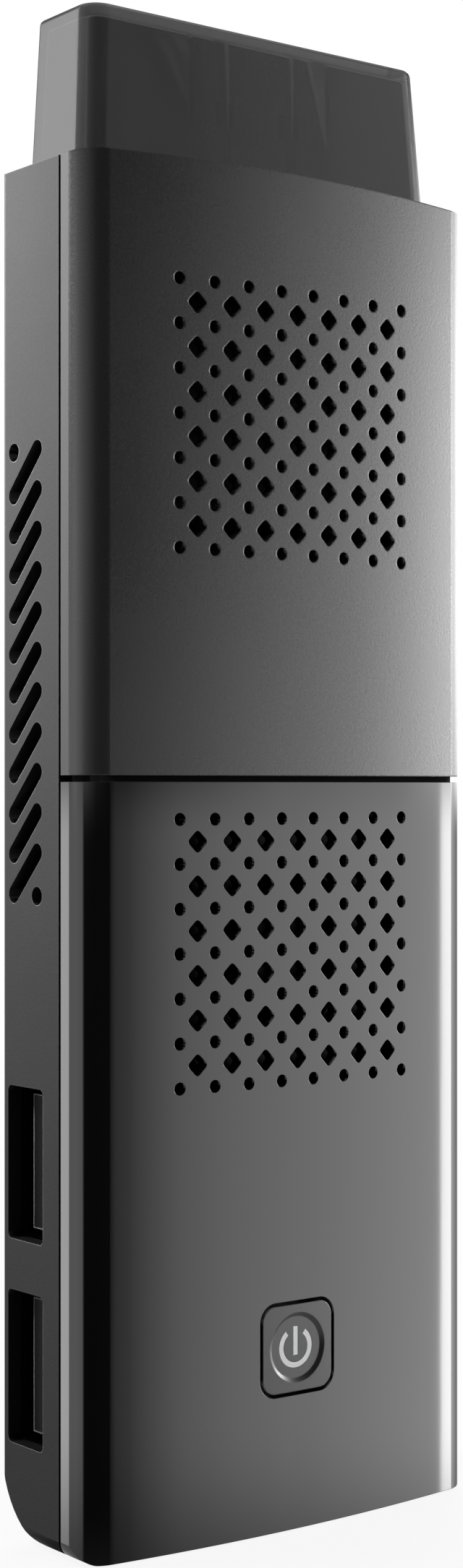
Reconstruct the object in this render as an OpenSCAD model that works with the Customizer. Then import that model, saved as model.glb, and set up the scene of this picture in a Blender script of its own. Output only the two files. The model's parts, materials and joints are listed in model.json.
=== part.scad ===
// Stick computer: a crowned case with a board-edge video plug under a smoke cap.
// The origin is the centre of the plug where it leaves the upper end of the body.
// +Z runs up the body towards the plug, the crowned front faces -Y and +X is to the right.

/* [Body] */
// Length of the body, without plug and cap
body_l = 113; // [110:0.5:124]
// Width across the side walls
body_w = 40.8; // [40:0.1:46]
// Thickness from the crown of the front to the flat back
body_t = 13.7; // [13.4:0.1:15]
// Radius of the crowned front across the width
crown_r = 147; // [120:1:260]
// Radius that rolls the front into the side walls
shoulder_r = 2.7; // [2.2:0.1:3.2]
// Wall thickness of housing and covers
wall = 1.2; // [1:0.05:1.35]
// Depth of the covers from the crown to the parting line
cover_depth = 5.05; // [4.6:0.05:5.2]
// Width of the groove at the parting line
parting_gap = 0.3; // [0.14:0.02:0.4]
// Arch radius of the upper end, seen from the front
end_arch_r = 530; // [300:10:1500]
// Corner radius of the lower end, seen from the front
foot_r = 1.3; // [0.8:0.1:3]
// Radius of the big round at the back of the lower end
heel_r = 7.1; // [5:0.1:7.4]
// Edge radius along the back
back_r = 0.5; // [0.3:0.1:1]

/* [Covers] */
// Length of the upper cover from the upper end to the split
upper_cover_l = 50.2; // [48:0.1:52]
// Width of the split between the two covers
split_gap = 0.52; // [0.3:0.02:0.7]
// Thickness of the lap and of the housing lip behind the seams
lap_t = 0.6; // [0.5:0.05:0.7]
// Clearance of the lap and the lip to the wall in front of them
lap_gap = 0.08; // [0.05:0.01:0.15]
// Depth of the lap behind the outer face, which is the skin left over it on the upper cover
lap_in = 0.62; // [0.5:0.02:0.8]
// Reach of the lap under the upper cover
lap_l = 2; // [1.2:0.1:2.5]
// Height of the housing lip inside the covers
lip_h = 0.8; // [0.5:0.1:1]
// Height of the ledge that carries the lip on the housing wall
ledge_h = 1; // [0.8:0.1:1.2]

/* [Vent grids] */
// Columns of round vents in a grid
grid_cols = 8; // [4:1:9]
// Rows of round vents in a grid
grid_rows = 7; // [3:1:7]
// Distance between columns
grid_col_pitch = 3.375; // [3:0.025:3.6]
// Distance between rows
grid_row_pitch = 3.632; // [3.2:0.004:3.8]
// Diameter of a round vent
grid_dot_d = 1.05; // [0.7:0.05:1.3]
// Side of a diamond vent
grid_diamond = 1.42; // [1:0.02:1.6]
// Corner radius of a diamond vent
grid_diamond_r = 0.3; // [0.1:0.05:0.45]
// Distance from the upper end to the first row of the upper grid
upper_grid_top = 9.98; // [6:0.02:14]
// Distance from the lower cover's edge to the first row of the lower grid
lower_grid_top = 3.03; // [2.5:0.01:6]

/* [Side vents] */
// Number of slanted slots in each side wall
slot_count = 11; // [6:1:11]
// Distance between slots as a share of the body's length
slot_share = 0.02903; // [0.0258:0.00001:0.03]
// Width of a slot
slot_w = 1.5; // [1:0.05:1.7]
// Reach of a slot from front to back
slot_span = 4.97; // [3.6:0.01:5.1]
// Slant of the slots
slot_angle = 45; // [35:1:55]
// Distance from the upper end to the middle of the first slot, as a share of the body's length
slot_top_share = 0.2248; // [0.2125:0.0001:0.2385]
// Distance from the end of a slot to the dot that closes the row
slot_dot_step = 3.53; // [3:0.01:3.8]

/* [Ports] */
// Distance from the back face to the middle line of side vents and ports
port_back = 3.55; // [3.5:0.01:3.8]
// Clear width inside a port shell
port_in_w = 12.5; // [12.4:0.05:12.8]
// Clear height inside a port shell
port_in_h = 5.12; // [5.05:0.01:5.2]
// Sheet thickness of a port shell
port_sheet = 0.3; // [0.2:0.01:0.32]
// Depth of a port shell
port_l = 14; // [11:0.1:15]
// Margin of the opening in the housing around the clear port
port_relief = 0.05; // [0:0.01:0.1]
// Distance from the lower end to the middle of the lower port
port_up = 14.2; // [14.1:0.1:16]
// Distance between the two ports
port_pitch = 16.8; // [15.5:0.1:18]
// Width of a port tongue
tongue_w = 11.1; // [10.5:0.1:11.5]
// Thickness of a port tongue
tongue_t = 1.84; // [1.6:0.02:2]
// Offset of a port tongue from the middle of its port towards the back
tongue_shift = 0.45; // [0:0.05:0.6]
// Set-back of the tongue's tip from the mouth of the shell
tongue_back = 0.5; // [0.3:0.05:1]
// Width of the power inlet shell
inlet_w = 7.5; // [7.3:0.05:7.8]
// Height of the power inlet shell
inlet_h = 2.5; // [2.4:0.05:2.9]
// Depth of the power inlet shell
inlet_l = 5.4; // [4.8:0.1:6]
// Width of the memory card cage
card_w = 14.2; // [13.5:0.1:14.8]
// Height of the memory card cage
card_h = 1.45; // [1.3:0.05:1.7]
// Depth of the memory card cage
card_l = 13.5; // [12:0.1:14.5]
// Distance from the lower end to the middle of the card cage
card_up = 33; // [30:0.5:37]

/* [Video plug] */
// Depth of the plug axis behind the crown of the front
plug_setback = 8.3; // [8.1:0.05:8.6]
// Width of the plug shell
plug_w = 13.9; // [13.8:0.02:14]
// Height of the plug shell
plug_h = 4.45; // [4.4:0.01:4.5]
// Sheet thickness of the plug shell
plug_sheet = 0.35; // [0.25:0.01:0.4]
// Reach of the plug beyond the upper end
plug_l = 11.4; // [11:0.1:11.5]
// Cut corners on the back side of the plug
plug_cut = 1.5; // [1:0.1:1.8]
// Number of contacts in the front row; the back row has one less
plug_pins = 10; // [8:1:10]

/* [Cap] */
// Width of the cap at its open end
cap_w = 36.8; // [34:0.1:38.5]
// Height of the cap
cap_h = 12.5; // [12.5:0.1:14]
// Reach of the cap in front of the plug axis, at its open end
cap_front = 4.2; // [3.8:0.05:4.4]
// Reach of the cap behind the plug axis
cap_back = 4.2; // [3.3:0.05:4.4]
// Draw-in of each end of the cap towards its top
cap_taper = 0.8; // [0.3:0.05:1]
// Lean of the front face towards its top
cap_lean = 0.7; // [0.3:0.05:0.75]
// Radius of the cap's front corners
cap_r = 1.9; // [1.4:0.1:2.6]
// Radius of the cap's back corners
cap_back_r = 0.4; // [0.3:0.05:1]
// Radius of the cap's upper edge
cap_edge_r = 0.5; // [0.3:0.1:0.7]
// Thickness of the cap's front and back walls
cap_face_wall = 0.85; // [0.6:0.05:0.9]
// Thickness of the cap's end walls and roof
cap_end_wall = 1; // [0.7:0.05:1]
// Gap between the cap and the upper end of the body
cap_gap = 0.12; // [0.05:0.01:0.3]
// Thickness of the ribs inside the cap
cap_rib_t = 0.5; // [0.4:0.05:0.7]
// Play between the cap's ribs and the plug
cap_play = 0.1; // [0.06:0.01:0.15]

/* [Power key] */
// Side of the square opening for the key
key_hole = 7.9; // [7.4:0.1:8.6]
// Corner radius of the key opening
key_hole_r = 1.6; // [1:0.1:2.2]
// Gap around the key
key_gap = 0.32; // [0.2:0.02:0.36]
// Distance from the lower end to the middle of the key
key_up = 15.1; // [13:0.1:18]
// Diameter of the round dish in the key
dish_d = 5.85; // [5:0.05:6.2]
// Depth of the dish
dish_depth = 0.3; // [0.15:0.05:0.4]
// Width of the dish's sloping wall
dish_bevel = 0.35; // [0.2:0.05:0.5]
// Travel of the key
key_travel = 0.5; // [0.3:0.05:0.6]
// Rim of the key's flange behind the cover
key_flange = 0.8; // [0.6:0.05:1]
// Thickness of the key's flange
key_flange_t = 0.6; // [0.5:0.05:0.7]
// Height of the collar behind the key opening
collar_h = 0.8; // [0.6:0.05:1]
// Outer diameter of the ring in the power symbol
symbol_d = 3.45; // [2.8:0.05:3.8]
// Stroke of the power symbol
symbol_stroke = 0.44; // [0.3:0.02:0.5]
// Height of the bar in the power symbol
symbol_bar = 2.4; // [1.8:0.05:2.6]
// Half the angle of the gap in the ring
symbol_gap = 37; // [28:1:45]
// Depth of the symbol insert
symbol_t = 0.6; // [0.4:0.05:0.8]
// Side of the switch body
switch_w = 4.5; // [4:0.1:5]
// Height of the switch body
switch_h = 1.5; // [1.4:0.05:1.6]
// Diameter of the switch plunger
plunger_d = 2.4; // [2:0.1:2.8]

/* [Board] */
// Thickness of the circuit board
board_t = 1; // [0.8:0.05:1.1]
// Side clearance of the board to the housing lip
board_gap = 0.3; // [0.2:0.05:0.6]
// End clearance of the board
board_end_gap = 1.6; // [1.2:0.1:2.4]
// Depth of the air passages in the board's edges
air_notch = 3; // [2:0.1:3.6]
// Diameter of a board screw
screw_d = 1.8; // [1.6:0.1:2]
// Diameter of a screw head
screw_head_d = 3.4; // [3:0.1:3.8]
// Height of a screw head
screw_head_h = 0.9; // [0.7:0.05:1.1]
// Length of a board screw under its head
screw_l = 4; // [3.2:0.1:4.6]
// Diameter of a screw boss on the housing
boss_d = 4; // [3.6:0.1:4.6]
// Distance from the board's edge to the screws
screw_inset = 2.5; // [2.3:0.1:3]

/* [Cooling] */
// Outer radius of the blower's scroll
blower_r = 12.6; // [11.5:0.1:13]
// Wall of the blower
blower_wall = 0.7; // [0.5:0.05:0.9]
// Thickness of the blower's base plate
blower_base = 0.5; // [0.4:0.05:0.7]
// Thickness of the blower's cover
blower_lid = 0.35; // [0.3:0.05:0.5]
// Radius of the blower's inlet
inlet_r = 7.6; // [6:0.1:9]
// Height of the outlet above the blower's centre
outlet_l = 14.2; // [13.5:0.1:14.6]
// Tip radius of the impeller
impeller_r = 10.6; // [9.5:0.1:10.8]
// Number of impeller blades
blade_count = 13; // [7:1:15]
// Thickness of a blade
blade_t = 0.5; // [0.4:0.05:0.7]
// Hub radius of the impeller
hub_r = 4.2; // [4:0.1:5]
// Diameter of the fan shaft
shaft_d = 1.5; // [1.2:0.1:1.8]
// Radial running clearance of the shaft
shaft_play = 0.03; // [0.02:0.01:0.06]
// Width of the processor package
processor_w = 14; // [11:0.5:16]
// Thickness of the processor package
processor_t = 0.9; // [0.7:0.05:1]
// Thickness of the thermal pad
pad_t = 0.3; // [0.2:0.05:0.4]
// Width of the heat spreader
spreader_w = 26; // [20:0.5:28]
// Thickness of the heat spreader's plate
spreader_t = 0.6; // [0.5:0.05:0.8]
// Number of fins on the heat spreader
fin_count = 9; // [5:1:11]
// Thickness of a fin
fin_t = 0.6; // [0.4:0.05:0.8]

/* [Hidden] */
$fn = 64;

// Cutting tools reach this far past what they cut
over = 1;

// Levels from front to back, from the plug axis
front_y = -plug_setback;
back_y = body_t - plug_setback;
part_y = front_y + cover_depth;
rim_y = part_y + parting_gap/2;
cover_in_y = front_y + wall;
lip_in = wall + lap_gap + lap_t;
port_y = back_y - port_back;
port_out_h = port_in_h + 2*port_sheet;
port_out_w = port_in_w + 2*port_sheet;
board_back = port_y - port_out_h/2;
board_front = board_back - board_t;

// Depth of the crown's surface below its apex
function crown_drop(x) = crown_r - sqrt(crown_r*crown_r - x*x);
// Free level under the lap of the covers, at a distance from the middle
part_clear = 0.2;
function inner_front(x) = front_y + lip_in + crown_drop(x) + part_clear;

// Centre of the roll between crown and side wall; it stands proud by a hair, so the faces cross cleanly
shoulder_proud = 0.006;
shoulder_x = body_w/2 - shoulder_r;
crown_cy = front_y + crown_r;
shoulder_reach = crown_r - shoulder_r + shoulder_proud;
shoulder_y = crown_cy - sqrt(pow(shoulder_reach, 2) - pow(shoulder_x, 2));
shoulder_lean = asin(shoulder_x/shoulder_reach);

// Centre of the round at the back of the lower end
heel_y = back_y - heel_r;
heel_z = -body_l + heel_r;

// Places along the body
split_high = -upper_cover_l;
split_low = split_high - split_gap;
upper_grid_z = -upper_grid_top;
lower_grid_z = split_low - lower_grid_top;
grid_h = (grid_rows - 1)*grid_row_pitch;
port_low_z = -body_l + port_up;
port_high_z = port_low_z + port_pitch;
card_z = -body_l + card_up;
key_z = -body_l + key_up;
slot_top = slot_top_share*body_l;
slot_pitch = slot_share*body_l;
slot_low_z = -slot_top - (slot_count - 1)*slot_pitch;
slot_run = (slot_span - slot_w)/2;
slot_rise = slot_run*tan(slot_angle);
slot_dot = slot_dot_step - slot_rise;
slot_end_z = slot_low_z - slot_dot;
port_mouth_x = -body_w/2 + wall;
inlet_mouth = 0.2;

// Board outline and its screws
board_w = body_w - 2*(lip_in + board_gap);
board_high = -wall - board_end_gap;
board_low = -body_l + wall + board_end_gap;
base_top = -wall - 0.1;
base_grip = 3;
board_notch_z = base_top - 2.2;
base_w = plug_w + 1.3;
base_rim = 0.3;
base_low = board_notch_z - base_grip;
base_front = min(-plug_h/2, board_front) - base_rim;
base_back = max(plug_h/2, board_back) + base_rim;
blower_z = lower_grid_z - grid_h/2;
screw_x = board_w/2 - screw_inset;
screw_drop = 4.6;
boss_shift = 1.08;
boss_z = (slot_end_z + port_high_z + port_out_w/2)/2 + boss_shift;
screw_spots = [for (s = [-1, 1], z = [board_high - screw_drop, boss_z]) [s*screw_x, z]];
screw_fit = 0.05;
screw_room = 0.2;

// Blower and heat spreader
blower_top = inner_front(blower_r);
blower_ear_r = 2;
blower_ear_h = 1.5;
blower_screw_d = 1.4;
blower_screw_head_d = 2.6;
ear_reach = (blower_r + blower_screw_head_d/2 + 0.3)/sqrt(2);
ear_spots = [[ear_reach, -ear_reach], [ear_reach, ear_reach], [-ear_reach, -ear_reach]];
outlet_w = 0.8*blower_r;
fan_gap = 0.3;
hub_wall = 0.7;
disc_t = 0.35;
bearing_wall = 0.9;
fan_back = board_front - blower_base - fan_gap;
fan_front = blower_top + blower_lid + fan_gap;
bearing_front = fan_front + hub_wall + fan_gap;
spreader_low = blower_z + outlet_l + 0.35;
spreader_l = 22;
spreader_back = board_front - processor_t - pad_t;
fin_front = inner_front(spreader_w/2);
processor_z = spreader_low + spreader_l/2;

// Power key stack
key_side = key_hole - 2*key_gap;
flange_front = cover_in_y + collar_h + 0.06;
flange_back = flange_front + key_flange_t;
switch_front = board_front - switch_h;
plunger_end = board_front - 0.3 - key_travel;

// Flat shapes

// A rectangle with round corners, centred on the origin
module rounded_rect(w, h, r) {
    square([w - 2*r, h], center = true);
    square([w, h - 2*r], center = true);
    for (sx = [-1, 1], sy = [-1, 1])
        translate([sx*(w/2 - r), sy*(h/2 - r)])
            circle(r);
}

// Plug outline with two cut corners on its back side
module d_outline(w, h, cut) {
    polygon([
        [-w/2, -h/2], [w/2, -h/2], [w/2, h/2 - cut],
        [w/2 - cut, h/2], [-w/2 + cut, h/2], [-w/2, h/2 - cut]
    ]);
}

// A piece of a circle between two directions
module pie(r, a0, a1) {
    reach = 2*r;
    mid = (a0 + a1)/2;
    intersection() {
        circle(r);
        polygon([
            [0, 0], [reach*cos(a0), reach*sin(a0)],
            [reach*cos(mid), reach*sin(mid)], [reach*cos(a1), reach*sin(a1)]
        ]);
    }
}

// Section across the body, drawn in by inset
module cross_section(inset) {
    side = body_w/2 - inset;
    far = back_y - inset;
    round = back_r > inset ? back_r - inset : 0;
    fan_x = shoulder_x + 2*shoulder_r*sin(shoulder_lean);
    fan_y = shoulder_y - 2*shoulder_r*cos(shoulder_lean);
    intersection() {
        translate([0, crown_cy])
            circle(crown_r - inset, $fn = 720);
        union() {
            polygon([[-shoulder_x, shoulder_y], [-fan_x, fan_y], [fan_x, fan_y], [shoulder_x, shoulder_y]]);
            for (s = [-1, 1])
                translate([s*shoulder_x, shoulder_y])
                    circle(shoulder_r - inset);
            translate([-side, shoulder_y])
                square([2*side, far - round - shoulder_y]);
            if (round > 0) {
                translate([-side + round, shoulder_y])
                    square([2*(side - round), far - shoulder_y]);
                for (s = [-1, 1])
                    translate([s*(side - round), far - round])
                        circle(round);
            }
        }
    }
}

// Outline of the body from the front, drawn in by inset
module front_outline(inset) {
    side = body_w/2 - inset;
    low = -body_l + inset;
    round = foot_r > inset ? foot_r - inset : 0;
    intersection() {
        translate([0, -end_arch_r])
            circle(end_arch_r - inset, $fn = 1440);
        union() {
            translate([-side, low + round])
                square([2*side, body_l]);
            translate([-side + round, low])
                square([2*(side - round), body_l]);
            if (round > 0)
                for (s = [-1, 1])
                    translate([s*(side - round), low + round])
                        circle(round);
        }
    }
}

// Outline of the body from the side, drawn in by inset
module side_outline(inset) {
    far = back_y - inset;
    low = -body_l + inset;
    lead = front_y - over;
    polygon([[lead, low], [heel_y, low], [heel_y, heel_z], [far, heel_z], [far, over], [lead, over]]);
    translate([heel_y, heel_z])
        pie(heel_r - inset, -90, 0);
}

// Flat shapes drawn out along one axis
module along_x(x0, x1) {
    translate([x0, 0, 0])
        rotate([90, 0, 90])
            linear_extrude(x1 - x0)
                children();
}

module along_y(y0, y1) {
    translate([0, y1, 0])
        rotate([90, 0, 0])
            linear_extrude(y1 - y0)
                children();
}

module along_z(z0, z1) {
    translate([0, 0, z0])
        linear_extrude(z1 - z0)
            children();
}

// A block between two corners
module block(low, high) {
    translate(low)
        cube(high - low);
}

// The whole body as one solid, drawn in by inset
module body_form(inset) {
    intersection() {
        along_z(-body_l - over, over)
            cross_section(inset);
        along_y(front_y - over, back_y + over)
            front_outline(inset);
        along_x(-body_w/2 - over, body_w/2 + over)
            side_outline(inset);
    }
}

// Everything between two levels from front to back
module slab(y0, y1) {
    block([-body_w, y0, -body_l - over], [body_w, y1, over]);
}

// Rear housing

// One slanted slot with round ends, middle at the origin
module slot_outline() {
    half = slot_run/cos(slot_angle);
    rotate(-slot_angle) {
        square([2*half, slot_w], center = true);
        for (s = [-1, 1])
            translate([s*half, 0])
                circle(d = slot_w);
    }
}

// Row of slots that ends in a dot above and a dot below
module slot_row() {
    for (i = [0:slot_count - 1])
        translate([port_y, -slot_top - i*slot_pitch])
            slot_outline();
    translate([port_y + slot_run, -slot_top + slot_dot])
        circle(d = slot_w);
    translate([port_y - slot_run, slot_end_z])
        circle(d = slot_w);
}

module port_opening(z) {
    along_x(-body_w/2 - over, port_mouth_x + over)
        translate([port_y, z])
            rounded_rect(port_in_h + 2*port_relief, port_in_w + 2*port_relief, 0.5);
    // room for the shell in the back wall
    block([port_mouth_x, port_y, z - port_out_w/2 - lap_gap],
          [port_mouth_x + port_l + lap_gap, port_y + port_out_h/2 + lap_gap, z + port_out_w/2 + lap_gap]);
}

module side_openings() {
    along_x(-body_w/2 - over, body_w/2 + over)
        slot_row();
    port_opening(port_low_z);
    port_opening(port_high_z);
    along_x(body_w/2 - wall - over, body_w/2 + over) {
        translate([board_back + inlet_h/2, port_low_z])
            rounded_rect(inlet_h + 0.4, inlet_w + 0.4, 0.5);
        translate([board_back + card_h/2, card_z])
            rounded_rect(card_h, card_w - 1.8, 0.3);
    }
}

// Bosses for the board screws and a rest under the board's lower end
module housing_posts() {
    for (p = screw_spots)
        along_y(board_back, back_y - wall/2)
            translate(p)
                circle(d = boss_d);
    intersection() {
        block([-3, board_back, board_low + 2], [12, back_y, board_low + 3.2]);
        body_form(wall/2);
    }
}

module rear_housing() {
    color("dimgray")
    difference() {
        union() {
            intersection() {
                body_form(0);
                slab(rim_y, back_y + over);
            }
            intersection() {
                body_form(wall + lap_gap);
                slab(part_y - lip_h, rim_y + over);
            }
        }
        difference() {
            union() {
                intersection() {
                    body_form(lip_in);
                    slab(part_y - lip_h - over, rim_y + ledge_h + over);
                }
                intersection() {
                    body_form(wall);
                    slab(rim_y + ledge_h, back_y);
                }
            }
            housing_posts();
        }
        for (p = screw_spots)
            along_y(board_back - over, board_front + screw_l + screw_room)
                translate(p)
                    circle(d = screw_d + 2*screw_fit);
        plug_room();
        side_openings();
    }
}

// Opening in the upper end for the plug, with room for its base behind the end wall
module plug_room() {
    room = 0.25;
    along_z(-wall - over, over)
        d_outline(plug_w + 2*room, plug_h + 2*room, plug_cut);
    block([-base_w/2 - room, base_front - room, base_low], [base_w/2 + room, base_back + room, -wall]);
}

// Covers

// A diamond vent with round corners, from arcs of few points
module diamond() {
    reach = (grid_diamond/2 - grid_diamond_r)*sqrt(2);
    polygon([
        for (i = [0:3], a = [-45, -15, 15, 45])
            [reach*cos(90*i) + grid_diamond_r*cos(90*i + a), reach*sin(90*i) + grid_diamond_r*sin(90*i + a)]
    ]);
}

module vent_grid(z_top) {
    along_y(front_y - over, part_y)
        for (c = [0:grid_cols - 1], r = [0:grid_rows - 1]) {
            x = (c - (grid_cols - 1)/2)*grid_col_pitch;
            z = z_top - r*grid_row_pitch;
            translate([x, z])
                circle(d = grid_dot_d);
            if (c < grid_cols - 1 && r < grid_rows - 1)
                translate([x + grid_col_pitch/2, z - grid_row_pitch/2])
                    diamond();
        }
}

module cover_shell(z0, z1) {
    intersection() {
        difference() {
            body_form(0);
            body_form(wall);
        }
        block([-body_w, front_y - over, z0], [body_w, part_y - parting_gap/2, z1]);
    }
}

module upper_cover() {
    color("dimgray")
    difference() {
        cover_shell(split_high, over);
        vent_grid(upper_grid_z);
        lap_rebate();
    }
}

// Points along the front of the section, from side wall to side wall, drawn in by inset
function front_line(inset, far) = let(
    side = body_w/2 - inset,
    r = shoulder_r - inset,
    turn = (90 - shoulder_lean)/4
) concat(
    [[-side, far]],
    [for (k = [0:4]) [-shoulder_x + r*cos(180 + k*turn), shoulder_y + r*sin(180 + k*turn)]],
    [for (k = [-5:5]) let(a = shoulder_lean*k/6)
        [(crown_r - inset)*sin(a), crown_cy - (crown_r - inset)*cos(a)]],
    [for (k = [4:-1:0]) [shoulder_x + r*cos(-k*turn), shoulder_y + r*sin(-k*turn)]],
    [[side, far]]
);

// Lap of the lower cover that closes the split from behind
module split_lap() {
    far = part_y - lip_h - part_clear;
    outer = front_line(lap_in, far);
    inner = front_line(lip_in, far);
    last = len(inner) - 1;
    along_z(split_low - lap_l, split_high + lap_l)
        polygon(concat(outer, [for (i = [0:last]) inner[last - i]]));
}

// Step on the inside of the upper cover that the lap slides into
module lap_rebate() {
    along_z(split_high - over, split_high + lap_l + lap_gap)
        polygon(front_line(lap_in - lap_gap, part_y + over));
}

module key_collar() {
    rim = 1;
    along_y(front_y + wall/2, cover_in_y + collar_h)
        translate([0, key_z])
            difference() {
                rounded_rect(key_hole + 2*rim, key_hole + 2*rim, key_hole_r + rim);
                rounded_rect(key_hole, key_hole, key_hole_r);
            }
}

module lower_cover() {
    color("dimgray")
    difference() {
        union() {
            cover_shell(-body_l - over, split_low);
            split_lap();
            key_collar();
        }
        vent_grid(lower_grid_z);
        along_y(front_y - over, cover_in_y + collar_h)
            translate([0, key_z])
                rounded_rect(key_hole, key_hole, key_hole_r);
    }
}

// Cap

// One thin slice of the cap's outline at a height
module cap_slice(in_x, in_y, z) {
    thin = 0.02;
    up = z/cap_h;
    w = cap_w - 2*cap_taper*up - 2*in_x;
    y0 = -cap_front + cap_lean*up + in_y;
    y1 = cap_back - in_y;
    front = max(cap_r - in_x, 0.5);
    back = max(cap_back_r - in_x, 0.2);
    translate([0, 0, cap_gap + z])
        linear_extrude(thin)
            for (s = [-1, 1]) {
                translate([s*(w/2 - front), y0 + front])
                    circle(front, $fn = 32);
                translate([s*(w/2 - back), y1 - back])
                    circle(back, $fn = 16);
            }
}

// Tapered form with a rounded upper edge
module cap_form(in_x, in_y, low, high, edge) {
    hull() {
        cap_slice(in_x, in_y, low);
        for (a = [0, 30, 60, 90])
            cap_slice(in_x + edge*(1 - cos(a)), in_y + edge*(1 - cos(a)), high - edge + edge*sin(a));
    }
}

// Ribs that grip the plug: two beside it and two in front of it
module cap_ribs() {
    beside = plug_w/2 + cap_play;
    top = cap_h - cap_end_wall/2;
    for (s = [-1, 1]) {
        x = s*(beside + cap_rib_t/2);
        block([x - cap_rib_t/2, -cap_front, cap_gap + 1], [x + cap_rib_t/2, cap_back, cap_gap + top]);
        x2 = s*plug_w/4;
        block([x2 - cap_rib_t/2, -cap_front, cap_gap + 1],
              [x2 + cap_rib_t/2, -plug_h/2 - cap_play, cap_gap + top]);
    }
}

module plug_cap() {
    color("gray", 0.6)
    difference() {
        cap_form(0, 0, 0, cap_h, cap_edge_r);
        difference() {
            cap_form(cap_end_wall, cap_face_wall, -over, cap_h - cap_end_wall, cap_edge_r/2);
            cap_ribs();
        }
    }
}

// Power key and switch

module power_key() {
    color("dimgray")
    difference() {
        union() {
            intersection() {
                along_y(front_y, flange_back)
                    translate([0, key_z])
                        rounded_rect(key_side, key_side, key_hole_r - key_gap);
                along_z(key_z - key_hole, key_z + key_hole)
                    cross_section(0);
            }
            along_y(flange_front, flange_back)
                translate([0, key_z])
                    rounded_rect(key_hole + 2*key_flange, key_hole + 2*key_flange, key_hole_r + key_flange);
        }
        translate([0, front_y + dish_depth, key_z])
            rotate([90, 0, 0])
                cylinder(h = 2*dish_depth, d1 = dish_d - 2*dish_bevel, d2 = dish_d + 2*dish_bevel);
        along_y(front_y + dish_depth - over, front_y + dish_depth + symbol_t)
            translate([0, key_z])
                symbol_outline();
    }
}

// Open ring with a bar through its gap
module symbol_outline() {
    r = symbol_d/2;
    difference() {
        circle(r);
        circle(r - symbol_stroke);
        polygon([[0, 0], [-2*r*sin(symbol_gap), 2*r*cos(symbol_gap)], [2*r*sin(symbol_gap), 2*r*cos(symbol_gap)]]);
    }
    translate([-symbol_stroke/2, r - symbol_bar])
        square([symbol_stroke, symbol_bar]);
}

module power_symbol() {
    color("white")
    along_y(front_y + dish_depth, front_y + dish_depth + symbol_t)
        translate([0, key_z])
            symbol_outline();
}

module switch_plunger() {
    color("black")
    along_y(flange_back, plunger_end)
        translate([0, key_z])
            circle(d = plunger_d);
}

module switch_body() {
    color("silver")
    difference() {
        along_y(switch_front, board_front)
            translate([0, key_z])
                square(switch_w, center = true);
        along_y(switch_front - over, board_front - 0.2)
            translate([0, key_z])
                circle(d = plunger_d + 2*screw_fit);
    }
}

module status_lamp() {
    color("white")
    block([switch_w/2 + 0.5, board_front - 0.6, key_z - 0.8], [switch_w/2 + 1.4, board_front, key_z + 0.8]);
}

// Board and what it carries

module board_outline() {
    notch_low = slot_end_z;
    notch_high = -slot_top + slot_dot;
    difference() {
        translate([-board_w/2, board_low])
            square([board_w, board_high - board_low]);
        translate([-base_w/2, board_notch_z])
            square([base_w, body_l]);
        for (s = [-1, 1])
            translate([s*board_w/2 - air_notch, notch_low])
                square([2*air_notch, notch_high - notch_low]);
        for (p = screw_spots)
            translate(p)
                circle(d = screw_d + 2*screw_room);
        for (p = ear_spots)
            translate([p[0], p[1] + blower_z])
                circle(d = blower_screw_d + 2*screw_fit);
    }
}

module main_board() {
    color("darkslategray")
    along_y(board_front, board_back)
        board_outline();
}

module board_screws() {
    color("silver")
    for (p = screw_spots) {
        along_y(board_front - screw_head_h, board_front)
            translate(p)
                circle(d = screw_head_d);
        along_y(board_front - screw_head_h/2, board_front + screw_l)
            translate(p)
                circle(d = screw_d);
    }
}

// A flat part on the front or the back of the board
module on_front(x, z, w, h, t) {
    block([x - w/2, board_front - t, z - h/2], [x + w/2, board_front, z + h/2]);
}

module on_back(x, z, w, h, t) {
    block([x - w/2, board_back, z - h/2], [x + w/2, board_back + t, z + h/2]);
}

module processor() {
    color("black")
    on_front(0, processor_z, processor_w, processor_w, processor_t);
}

module thermal_pad() {
    color("lightsteelblue")
    translate([0, -processor_t, 0])
        on_front(0, processor_z, processor_w, processor_w, pad_t);
}

module heat_spreader() {
    pitch = (spreader_w - fin_t)/(fin_count - 1);
    color("silver")
    union() {
        block([-spreader_w/2, spreader_back - spreader_t, spreader_low],
              [spreader_w/2, spreader_back, spreader_low + spreader_l]);
        for (i = [0:fin_count - 1]) {
            x = -spreader_w/2 + i*pitch;
            block([x, fin_front, spreader_low], [x + fin_t, spreader_back, spreader_low + spreader_l]);
        }
    }
}

memory_w = 9;
memory_h = 7.5;
memory_t = 0.9;
memory_gap = 1;
memory_inset = 5.3;
memory_drop = 8.35;

module memory_chips() {
    x = -board_w/2 + memory_inset + memory_w/2;
    color("black")
    for (i = [0, 1])
        on_front(x, board_notch_z - memory_drop - i*(memory_h + memory_gap), memory_w, memory_h, memory_t);
}

storage_w = 11.5;
storage_h = 13;
storage_t = 1;
storage_x = 3;

module storage_chip() {
    color("black")
    on_back(storage_x, processor_z, storage_w, storage_h, storage_t);
}

power_inset = 5.1;
power_chip_w = 5;
power_chip_t = 0.8;
power_chip_up = 7;
coil_w = 4;
coil_t = 1.8;
coil_up = 1;
coil_pitch = 5.5;
power_x = board_w/2 - power_inset - power_chip_w/2;

module power_chip() {
    color("black")
    on_front(power_x, key_z + power_chip_up, power_chip_w, power_chip_w, power_chip_t);
}

module power_coils() {
    color("gray")
    for (i = [0, 1])
        on_front(power_x, key_z + coil_up - i*coil_pitch, coil_w, coil_w, coil_t);
}

radio_w = 12;
radio_h = 13;
radio_t = 1.6;
radio_inset = 3.6;
radio_drop = 12.4;

module radio_module() {
    color("silver")
    on_front(board_w/2 - radio_inset - radio_w/2, board_notch_z - radio_drop, radio_w, radio_h, radio_t);
}

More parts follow.
